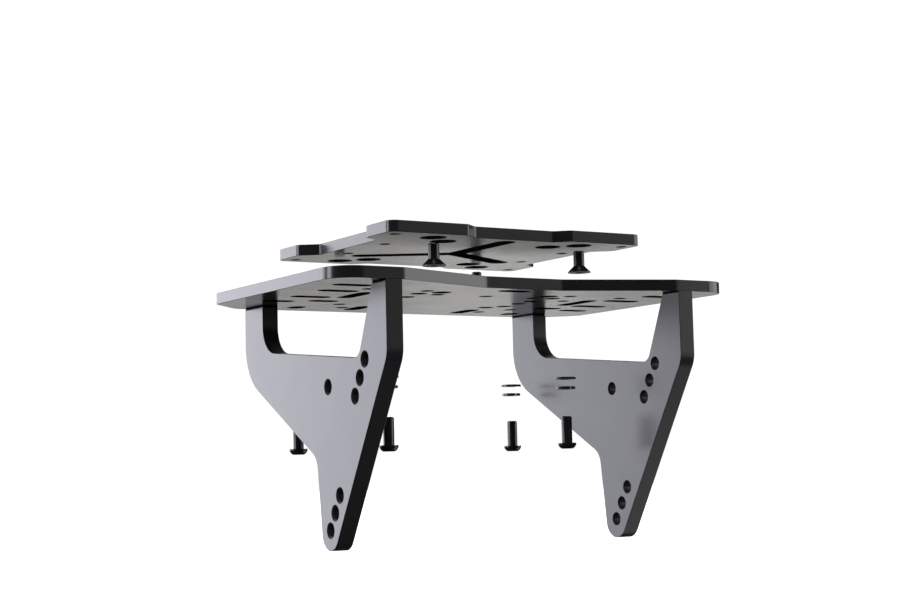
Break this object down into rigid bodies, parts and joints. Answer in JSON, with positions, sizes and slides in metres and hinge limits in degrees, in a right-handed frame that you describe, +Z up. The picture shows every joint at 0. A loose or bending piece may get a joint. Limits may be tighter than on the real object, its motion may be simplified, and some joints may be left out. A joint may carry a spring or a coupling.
{
  "type": "equipment deck",
  "caption": "Slotted deck plate on two tapering side brackets with an adapter plate and its screws, laid out ready to assemble.",
  "frame": {"origin": "on the axis of the middle holes of the two lower bolt rows, midway between the brackets", "axes": "+X to the right along the deck's width, +Y from the front edge to the rear, +Z up"},
  "size_m": [0.327, 0.2232, 0.2238],
  "materials": {
    "black_anodised": "satin black anodised, bead blasted",
    "black_oxide": "black oxide steel",
    "zinc_dark": "dark steel"
  },
  "bodies": {
    "deck_frame": {"deck_plate": "black_anodised", "left_bracket": "black_anodised", "right_bracket": "black_anodised", "left_bracket_screws": "black_oxide", "right_bracket_screws": "black_oxide"},
    "adapter": {"adapter_plate": "black_anodised"},
    "adapter_screw_front_left": {"adapter_screw_front_left": "black_oxide"},
    "adapter_screw_front_right": {"adapter_screw_front_right": "black_oxide"},
    "adapter_screw_rear_left": {"adapter_screw_rear_left": "black_oxide"},
    "adapter_screw_rear_right": {"adapter_screw_rear_right": "black_oxide"},
    "clamp_screw_front_left": {"clamp_screw_front_left": "black_oxide"},
    "lock_washer_front_left": {"lock_washer_front_left": "zinc_dark"},
    "flat_washer_front_left": {"flat_washer_front_left": "zinc_dark"},
    "clamp_screw_front_right": {"clamp_screw_front_right": "black_oxide"},
    "lock_washer_front_right": {"lock_washer_front_right": "zinc_dark"},
    "flat_washer_front_right": {"flat_washer_front_right": "zinc_dark"},
    "clamp_screw_rear_left": {"clamp_screw_rear_left": "black_oxide"},
    "lock_washer_rear_left": {"lock_washer_rear_left": "zinc_dark"},
    "flat_washer_rear_left": {"flat_washer_rear_left": "zinc_dark"},
    "clamp_screw_rear_right": {"clamp_screw_rear_right": "black_oxide"},
    "lock_washer_rear_right": {"lock_washer_rear_right": "zinc_dark"},
    "flat_washer_rear_right": {"flat_washer_rear_right": "zinc_dark"}
  },
  "joints": [
    {"name": "adapter_drop", "type": "slide", "parent": "deck_frame", "child": "adapter", "axis": [0, 0, -1], "range_m": [0, 0.0281]},
    {"name": "adapter_screw_front_left_rise", "type": "slide", "parent": "adapter", "child": "adapter_screw_front_left", "axis": [0, 0, 1], "range_m": [0, 0.0206]},
    {"name": "adapter_screw_front_right_rise", "type": "slide", "parent": "adapter", "child": "adapter_screw_front_right", "axis": [0, 0, 1], "range_m": [0, 0.0206]},
    {"name": "adapter_screw_rear_left_rise", "type": "slide", "parent": "adapter", "child": "adapter_screw_rear_left", "axis": [0, 0, 1], "range_m": [0, 0.0206]},
    {"name": "adapter_screw_rear_right_rise", "type": "slide", "parent": "adapter", "child": "adapter_screw_rear_right", "axis": [0, 0, 1], "range_m": [0, 0.0206]},
    {"name": "clamp_screw_front_left_rise", "type": "slide", "parent": "deck_frame", "child": "clamp_screw_front_left", "axis": [0, 0, 1], "range_m": [0, 0.10345]},
    {"name": "lock_washer_front_left_rise", "type": "slide", "parent": "deck_frame", "child": "lock_washer_front_left", "axis": [0, 0, 1], "range_m": [0, 0.0632]},
    {"name": "flat_washer_front_left_rise", "type": "slide", "parent": "deck_frame", "child": "flat_washer_front_left", "axis": [0, 0, 1], "range_m": [0, 0.05775]},
    {"name": "clamp_screw_front_right_rise", "type": "slide", "parent": "deck_frame", "child": "clamp_screw_front_right", "axis": [0, 0, 1], "range_m": [0, 0.10345]},
    {"name": "lock_washer_front_right_rise", "type": "slide", "parent": "deck_frame", "child": "lock_washer_front_right", "axis": [0, 0, 1], "range_m": [0, 0.0632]},
    {"name": "flat_washer_front_right_rise", "type": "slide", "parent": "deck_frame", "child": "flat_washer_front_right", "axis": [0, 0, 1], "range_m": [0, 0.05775]},
    {"name": "clamp_screw_rear_left_rise", "type": "slide", "parent": "deck_frame", "child": "clamp_screw_rear_left", "axis": [0, 0, 1], "range_m": [0, 0.10345]},
    {"name": "lock_washer_rear_left_rise", "type": "slide", "parent": "deck_frame", "child": "lock_washer_rear_left", "axis": [0, 0, 1], "range_m": [0, 0.0632]},
    {"name": "flat_washer_rear_left_rise", "type": "slide", "parent": "deck_frame", "child": "flat_washer_rear_left", "axis": [0, 0, 1], "range_m": [0, 0.05775]},
    {"name": "clamp_screw_rear_right_rise", "type": "slide", "parent": "deck_frame", "child": "clamp_screw_rear_right", "axis": [0, 0, 1], "range_m": [0, 0.10345]},
    {"name": "lock_washer_rear_right_rise", "type": "slide", "parent": "deck_frame", "child": "lock_washer_rear_right", "axis": [0, 0, 1], "range_m": [0, 0.0632]},
    {"name": "flat_washer_rear_right_rise", "type": "slide", "parent": "deck_frame", "child": "flat_washer_rear_right", "axis": [0, 0, 1], "range_m": [0, 0.05775]}
  ],
  "couplings": [
    {"joint": "adapter_screw_front_left_rise", "follows": "adapter_drop", "ratio": 0.7331},
    {"joint": "adapter_screw_front_right_rise", "follows": "adapter_drop", "ratio": 0.7331},
    {"joint": "adapter_screw_rear_left_rise", "follows": "adapter_drop", "ratio": 0.7331},
    {"joint": "adapter_screw_rear_right_rise", "follows": "adapter_drop", "ratio": 0.7331},
    {"joint": "lock_washer_front_left_rise", "follows": "clamp_screw_front_left_rise", "ratio": 0.6109},
    {"joint": "flat_washer_front_left_rise", "follows": "clamp_screw_front_left_rise", "ratio": 0.5582},
    {"joint": "lock_washer_front_right_rise", "follows": "clamp_screw_front_right_rise", "ratio": 0.6109},
    {"joint": "flat_washer_front_right_rise", "follows": "clamp_screw_front_right_rise", "ratio": 0.5582},
    {"joint": "lock_washer_rear_left_rise", "follows": "clamp_screw_rear_left_rise", "ratio": 0.6109},
    {"joint": "flat_washer_rear_left_rise", "follows": "clamp_screw_rear_left_rise", "ratio": 0.5582},
    {"joint": "lock_washer_rear_right_rise", "follows": "clamp_screw_rear_right_rise", "ratio": 0.6109},
    {"joint": "flat_washer_rear_right_rise", "follows": "clamp_screw_rear_right_rise", "ratio": 0.5582}
  ]
}
